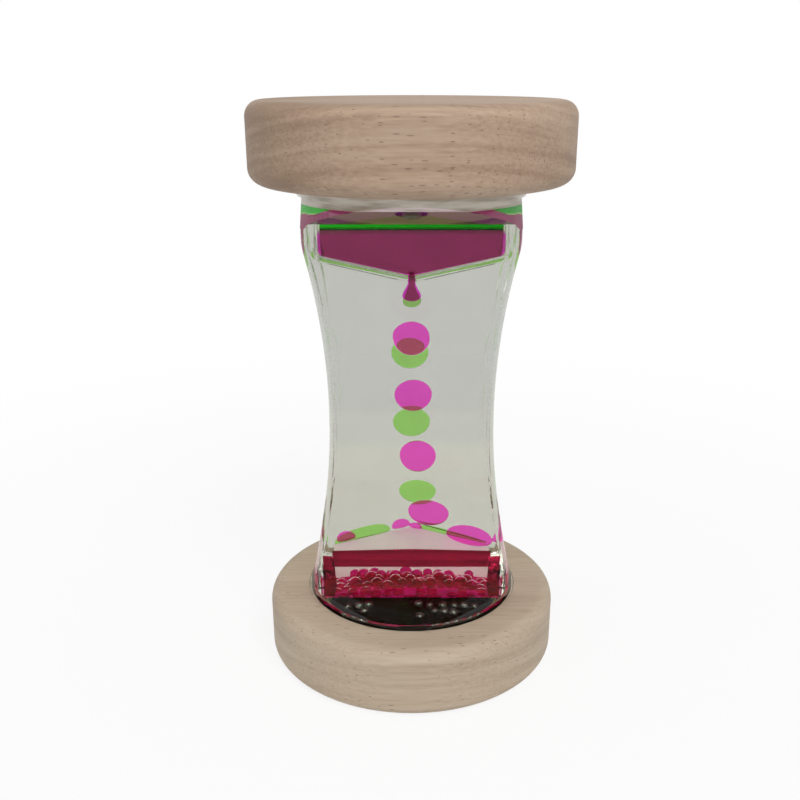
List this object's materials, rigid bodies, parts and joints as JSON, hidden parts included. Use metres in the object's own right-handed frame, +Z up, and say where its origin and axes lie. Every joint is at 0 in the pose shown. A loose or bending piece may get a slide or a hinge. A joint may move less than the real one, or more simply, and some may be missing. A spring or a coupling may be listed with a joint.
{
  "type": "liquid motion timer",
  "caption": "Clear sealed hourglass with a flat front between round wooden caps; coloured drops fall from upper funnels through oil to a lower pool.",
  "frame": {"origin": "centre of the lower cap's flat underside", "axes": "+Z up through both caps, flat front of the clear shell towards -Y, +X to the viewer's right"},
  "size_m": [0.075, 0.075, 0.14],
  "materials": {
    "wood": "oiled, fine straight grain with dark pores",
    "clear_plastic": "clear polished moulding",
    "plug_plastic": "gloss",
    "glue": "cured clear glue",
    "oil": "clear oil",
    "magenta_liquid": "dyed clear liquid",
    "green_liquid": "dyed clear liquid"
  },
  "bodies": {
    "timer": {"top_cap": "wood", "bottom_cap": "wood", "body_shell": "clear_plastic", "upper_lid": "clear_plastic", "lower_lid": "clear_plastic", "divider_plate": "clear_plastic", "upper_front_funnel": "clear_plastic", "upper_rear_funnel": "clear_plastic", "lower_front_funnel": "clear_plastic", "lower_rear_funnel": "clear_plastic", "fill_plugs": "plug_plastic", "upper_glue_ring": "glue", "lower_glue_ring": "glue", "front_oil": "oil", "rear_oil": "oil", "magenta_upper_pool": "magenta_liquid", "magenta_lower_pool": "magenta_liquid", "magenta_roof_film": "magenta_liquid", "magenta_settled_drops": "magenta_liquid", "green_upper_pool": "green_liquid", "green_lower_pool": "green_liquid", "green_roof_film": "green_liquid", "green_settled_drops": "green_liquid"},
    "magenta_drop_1": {"magenta_drop_1": "magenta_liquid"},
    "magenta_drop_2": {"magenta_drop_2": "magenta_liquid"},
    "magenta_drop_3": {"magenta_drop_3": "magenta_liquid"},
    "magenta_drop_4": {"magenta_drop_4": "magenta_liquid"},
    "green_drop_1": {"green_drop_1": "green_liquid"},
    "green_drop_2": {"green_drop_2": "green_liquid"},
    "green_drop_3": {"green_drop_3": "green_liquid"},
    "magenta_landed_drop": {"magenta_landed_drop": "magenta_liquid"}
  },
  "joints": [
    {"name": "magenta_drop_1_fall", "type": "slide", "parent": "timer", "child": "magenta_drop_1", "axis": [0, 0, -1], "range_m": [-0.0035, 0.0038]},
    {"name": "magenta_drop_2_fall", "type": "slide", "parent": "timer", "child": "magenta_drop_2", "axis": [0, 0, -1], "range_m": [-0.0035, 0.0038]},
    {"name": "magenta_drop_3_fall", "type": "slide", "parent": "timer", "child": "magenta_drop_3", "axis": [0, 0, -1], "range_m": [-0.0035, 0.0038]},
    {"name": "magenta_drop_4_fall", "type": "slide", "parent": "timer", "child": "magenta_drop_4", "axis": [0, 0, -1], "range_m": [-0.0035, 0.0038]},
    {"name": "green_drop_1_fall", "type": "slide", "parent": "timer", "child": "green_drop_1", "axis": [0, 0, -1], "range_m": [-0.005, 0.0045]},
    {"name": "green_drop_2_fall", "type": "slide", "parent": "timer", "child": "green_drop_2", "axis": [0, 0, -1], "range_m": [-0.005, 0.0045]},
    {"name": "green_drop_3_fall", "type": "slide", "parent": "timer", "child": "green_drop_3", "axis": [0, 0, -1], "range_m": [-0.005, 0.0045]},
    {"name": "magenta_landed_drop_run", "type": "slide", "parent": "timer", "child": "magenta_landed_drop", "axis": [0.9744, 0, -0.225], "range_m": [-0.001, 0.0008]}
  ],
  "couplings": [
    {"joint": "magenta_drop_2_fall", "follows": "magenta_drop_1_fall", "ratio": 1},
    {"joint": "magenta_drop_3_fall", "follows": "magenta_drop_1_fall", "ratio": 1},
    {"joint": "magenta_drop_4_fall", "follows": "magenta_drop_1_fall", "ratio": 1},
    {"joint": "green_drop_2_fall", "follows": "green_drop_1_fall", "ratio": 1},
    {"joint": "green_drop_3_fall", "follows": "green_drop_1_fall", "ratio": 1}
  ]
}
